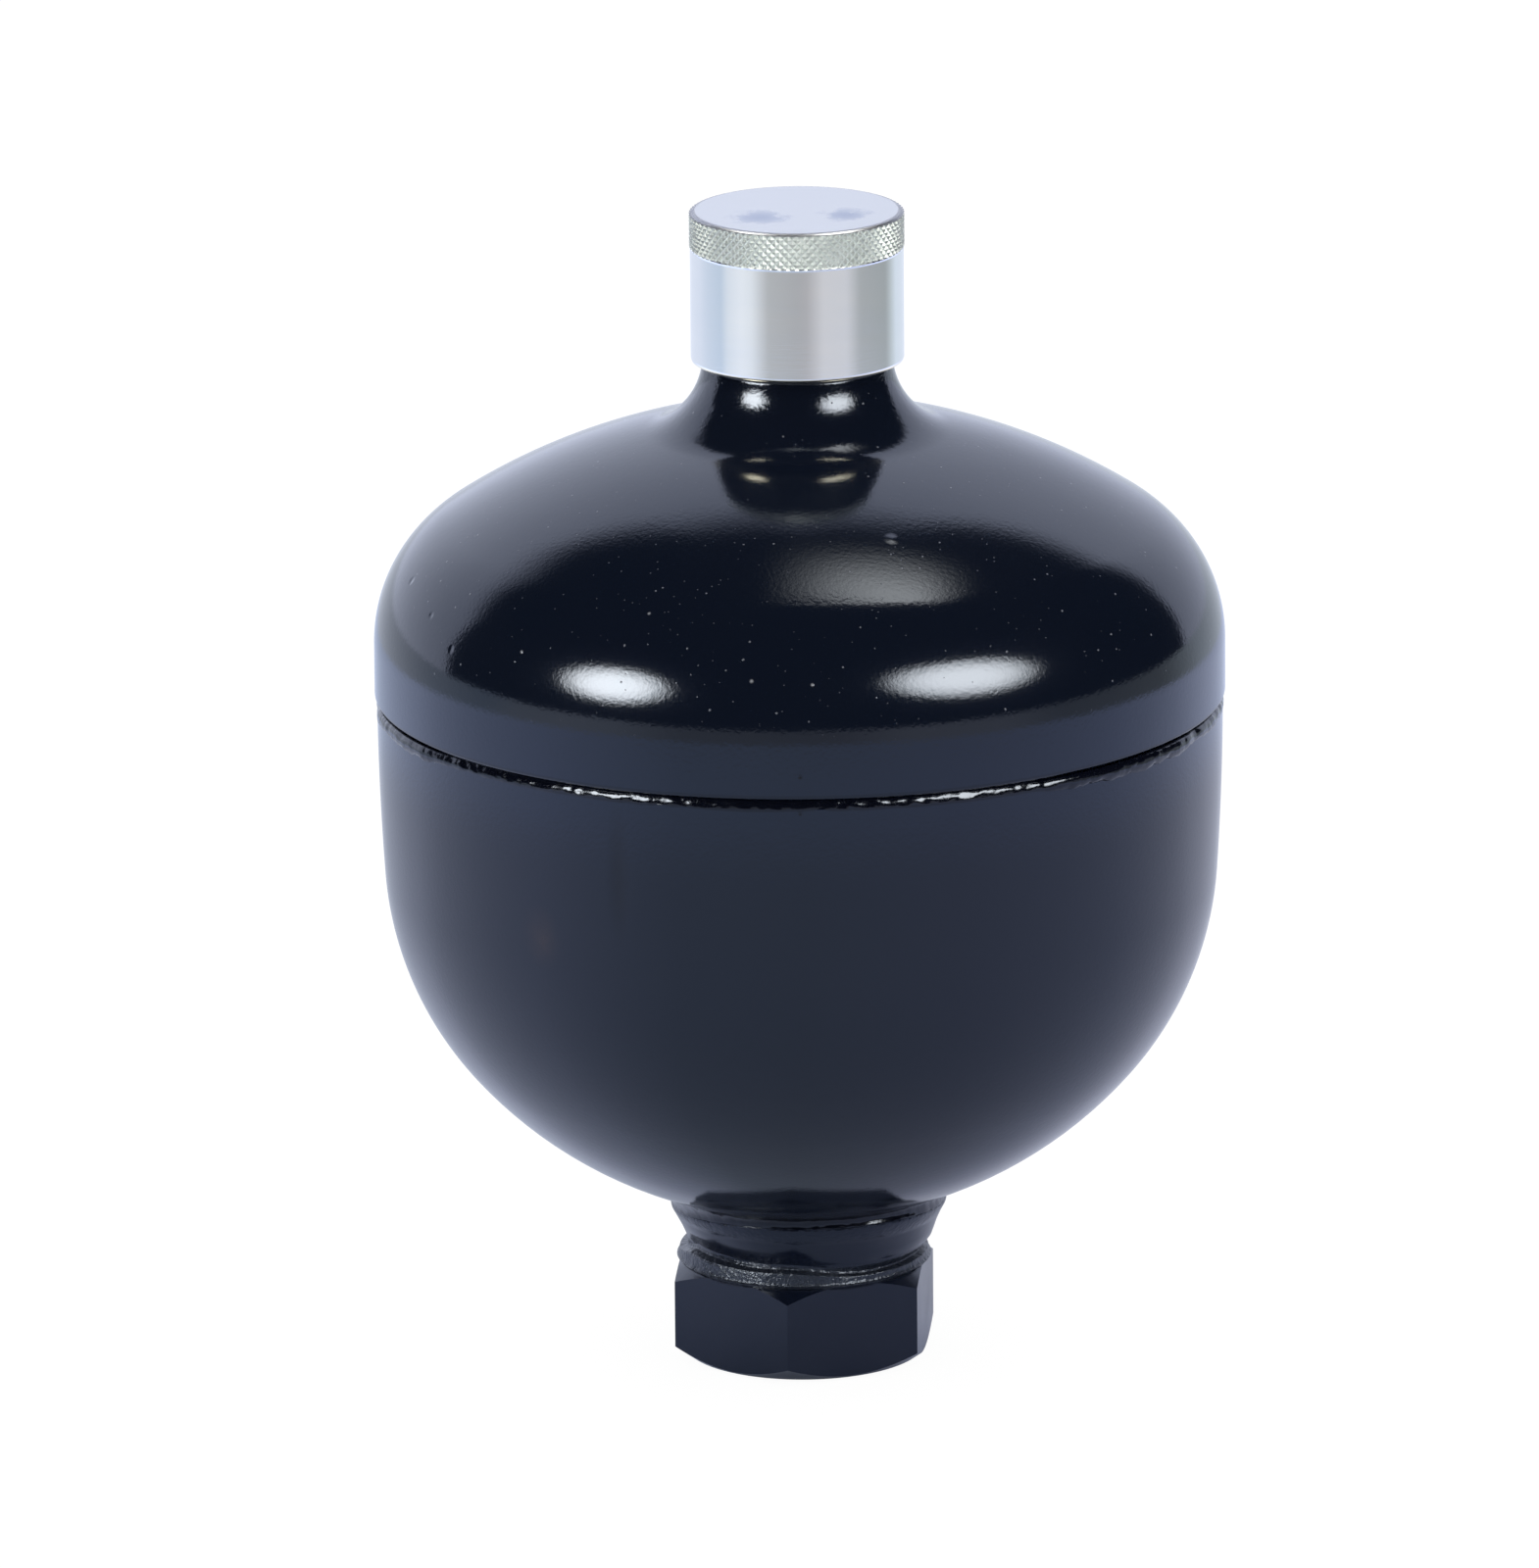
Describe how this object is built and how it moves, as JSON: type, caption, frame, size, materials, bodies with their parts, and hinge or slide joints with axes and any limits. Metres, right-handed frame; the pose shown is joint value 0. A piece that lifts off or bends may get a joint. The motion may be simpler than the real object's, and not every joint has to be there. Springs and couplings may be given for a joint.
{
  "type": "diaphragm accumulator",
  "caption": "Welded steel diaphragm accumulator: black vessel on a hexagonal female fluid port, with a knurled screw cap over its gas charging stub.",
  "frame": {"origin": "centre of the port's flat sealing face, the lowest face of the part", "axes": "+Z along the vessel's axis, from the fluid port up to the protective cap; the hexagon has corners towards +Y and -Y"},
  "size_m": [0.142, 0.142, 0.1967],
  "materials": {
    "black_paint": "gloss blue-black paint over pressed steel, with fine specks in the film",
    "weld_paint": "gloss black paint over a rough weld bead",
    "port_paint": "satin black paint over turned bar",
    "zinc_plate": "bright zinc plate over turned and knurled steel",
    "dark_steel": "plain oiled steel",
    "rubber": "matt nitrile rubber"
  },
  "bodies": {
    "vessel": {"upper_shell": "black_paint", "girth_weld": "weld_paint", "lower_shell": "black_paint", "clamp_ring": "dark_steel", "diaphragm": "rubber", "port_weld": "weld_paint", "fluid_port": "port_paint"},
    "gasket": {"cap_gasket": "rubber"},
    "cap": {"protective_cap": "zinc_plate"},
    "seal": {"screw_seal": "rubber"},
    "screw": {"charging_screw": "dark_steel"},
    "button": {"valve_button": "dark_steel"}
  },
  "joints": [
    {"name": "cap_lift", "type": "slide", "parent": "vessel", "child": "gasket", "axis": [0, 0, 1], "range_m": [0, 0.0136]},
    {"name": "cap_turn", "type": "hinge", "parent": "gasket", "child": "cap", "pos_m": [0, 0, 0.18], "axis": [0, 0, 1], "range_deg": [0, 3240]},
    {"name": "screw_lift", "type": "slide", "parent": "vessel", "child": "seal", "axis": [0, 0, 1], "range_m": [0, 0.0061]},
    {"name": "screw_turn", "type": "hinge", "parent": "seal", "child": "screw", "pos_m": [0, 0, 0.18], "axis": [0, 0, 1], "range_deg": [0, 1440]},
    {"name": "button_lift", "type": "slide", "parent": "vessel", "child": "button", "axis": [0, 0, 1], "range_m": [0, 0.1], "deforming": ["diaphragm"]}
  ],
  "couplings": [
    {"joint": "cap_lift", "follows": "cap_turn", "m_per_rad": 0.00023873},
    {"joint": "screw_lift", "follows": "screw_turn", "m_per_rad": 0.00023873}
  ]
}
